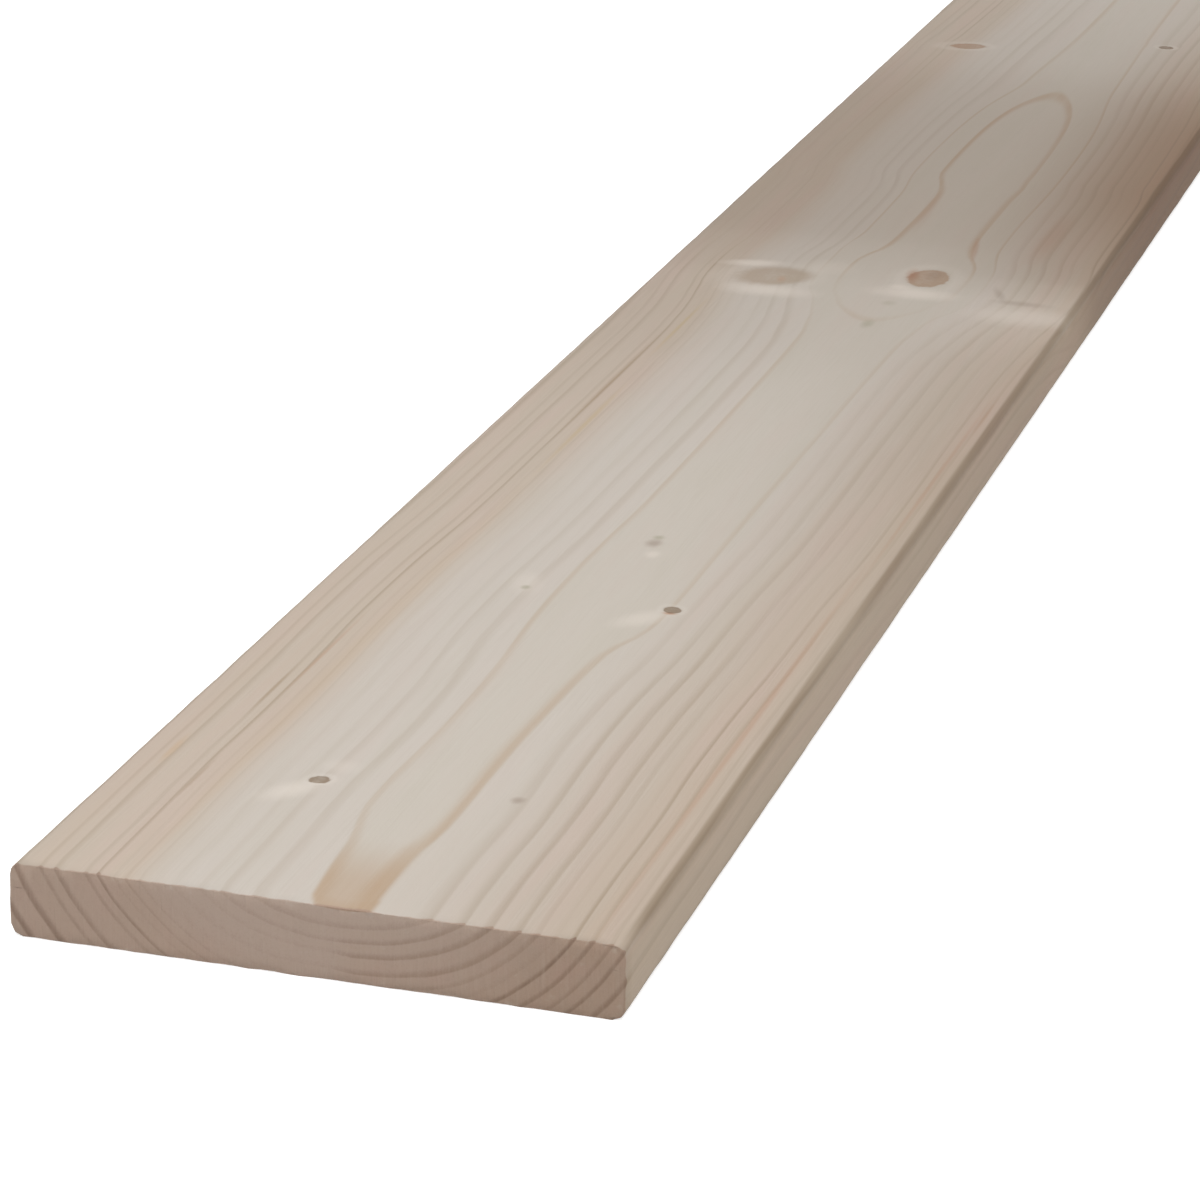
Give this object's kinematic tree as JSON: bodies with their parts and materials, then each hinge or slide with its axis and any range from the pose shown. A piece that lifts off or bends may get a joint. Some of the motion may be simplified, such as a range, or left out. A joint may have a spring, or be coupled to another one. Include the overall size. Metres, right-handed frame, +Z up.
{
  "type": "timber plank",
  "caption": "Planed softwood board of rectangular section with rounded long edges and square-sawn ends, sold by the length for shelves, trim and joinery.",
  "frame": {"origin": "middle of the broad face that the board lies on", "axes": "+X across the width, +Y along the length and the grain, +Z up through the thickness"},
  "size_m": [0.144, 1.8, 0.018],
  "materials": {
    "planed_softwood": "planed, unfinished"
  },
  "bodies": {
    "root": {"lumber_plank": "planed_softwood"}
  },
  "joints": []
}
